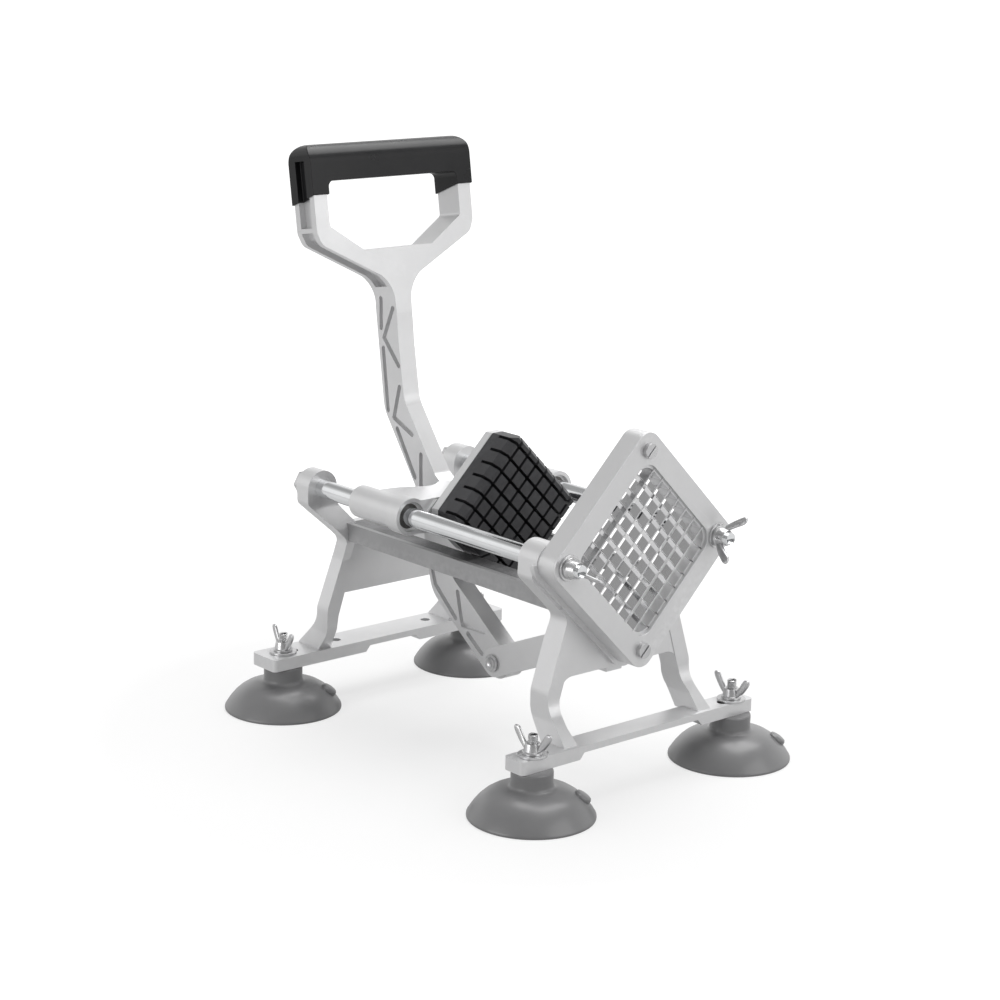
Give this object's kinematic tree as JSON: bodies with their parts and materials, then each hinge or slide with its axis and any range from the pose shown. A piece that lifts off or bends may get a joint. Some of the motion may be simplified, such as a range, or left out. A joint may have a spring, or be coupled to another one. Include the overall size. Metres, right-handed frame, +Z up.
{
  "type": "french fry cutter",
  "caption": "Lever-action bench press that pushes a potato through a square grid of blades, on suction-cup feet.",
  "frame": {"origin": "centre of the bounding box in X and Y, on the table plane under the suction cups", "axes": "+Z up, -Y towards the blades and the outlet, +X to the right as seen from the blades' side looking along +Y"},
  "size_m": [0.2442, 0.3274, 0.3704],
  "materials": {
    "cast_aluminium": "satin",
    "polished_steel": "polished",
    "plated_steel": "satin",
    "blade_steel": "bright",
    "sintered_bush": "sintered, oil dark",
    "pusher_plastic": "moulded",
    "grip_vinyl": "glossy dipped vinyl",
    "cup_rubber": "smooth moulded rubber"
  },
  "bodies": {
    "frame": {"front_frame": "cast_aluminium", "rear_frame": "cast_aluminium", "bed_rail_left": "cast_aluminium", "bed_rail_right": "cast_aluminium", "guide_rod_left": "polished_steel", "guide_rod_right": "polished_steel", "rod_nuts": "plated_steel", "cup_studs": "plated_steel", "cup_washers": "plated_steel", "suction_cup_front_left": "cup_rubber", "suction_cup_front_right": "cup_rubber", "suction_cup_rear_left": "cup_rubber", "suction_cup_rear_right": "cup_rubber"},
    "carriage": {"carriage": "cast_aluminium", "hub_bushes": "sintered_bush", "pusher_block": "pusher_plastic", "pusher_screws": "plated_steel", "lever_pivot_pin": "plated_steel", "pivot_clips": "plated_steel"},
    "lever": {"lever": "cast_aluminium", "handle_grip": "grip_vinyl", "crank_pin": "plated_steel", "crank_pin_clips": "plated_steel"},
    "links": {"link_left": "cast_aluminium", "link_right": "cast_aluminium", "front_link_pin": "plated_steel", "front_pin_clips": "plated_steel"},
    "cartridge": {"cutter_housing": "cast_aluminium", "cover_plate": "cast_aluminium", "blades_front": "blade_steel", "blades_rear": "blade_steel", "cover_screws": "plated_steel", "cartridge_washers": "plated_steel"},
    "cartridge_nut_left": {"cartridge_wing_nut_left": "plated_steel"},
    "cartridge_nut_right": {"cartridge_wing_nut_right": "plated_steel"},
    "cup_nut_front_left": {"wing_nut_front_left": "plated_steel"},
    "cup_nut_front_right": {"wing_nut_front_right": "plated_steel"},
    "cup_nut_rear_left": {"wing_nut_rear_left": "plated_steel"},
    "cup_nut_rear_right": {"wing_nut_rear_right": "plated_steel"}
  },
  "joints": [
    {"name": "carriage_slide", "type": "slide", "parent": "frame", "child": "carriage", "axis": [0, -1, 0], "range_m": [0, 0.105]},
    {"name": "lever_hinge", "type": "hinge", "parent": "carriage", "child": "lever", "pos_m": [0, 0.04, 0.145], "axis": [1, 0, 0], "range_deg": [0, 61.21]},
    {"name": "link_hinge", "type": "hinge", "parent": "lever", "child": "links", "pos_m": [0, -0.0045, 0.0498], "axis": [1, 0, 0], "range_deg": [-58.48, 0]},
    {"name": "cartridge_slide", "type": "slide", "parent": "frame", "child": "cartridge", "axis": [0, -1, 0], "range_m": [0, 0.05]},
    {"name": "cartridge_nut_left_spin", "type": "hinge", "parent": "cartridge", "child": "cartridge_nut_left", "pos_m": [-0.0615, -0.135, 0.1493], "axis": [0, -1, 0], "continuous": true},
    {"name": "cartridge_nut_right_spin", "type": "hinge", "parent": "cartridge", "child": "cartridge_nut_right", "pos_m": [0.0615, -0.135, 0.1493], "axis": [0, -1, 0], "continuous": true},
    {"name": "cup_nut_front_left_spin", "type": "hinge", "parent": "frame", "child": "cup_nut_front_left", "pos_m": [-0.0834, -0.125, 0.044], "axis": [0, 0, 1], "continuous": true},
    {"name": "cup_nut_front_right_spin", "type": "hinge", "parent": "frame", "child": "cup_nut_front_right", "pos_m": [0.0834, -0.125, 0.044], "axis": [0, 0, 1], "continuous": true},
    {"name": "cup_nut_rear_left_spin", "type": "hinge", "parent": "frame", "child": "cup_nut_rear_left", "pos_m": [-0.0834, 0.125, 0.044], "axis": [0, 0, 1], "continuous": true},
    {"name": "cup_nut_rear_right_spin", "type": "hinge", "parent": "frame", "child": "cup_nut_rear_right", "pos_m": [0.0774, 0.125, 0.044], "axis": [0, 0, 1], "continuous": true}
  ],
  "couplings": [
    {"joint": "lever_hinge", "follows": "carriage_slide", "rad_per_m": 10.166},
    {"joint": "link_hinge", "follows": "carriage_slide", "rad_per_m": -9.7122}
  ]
}
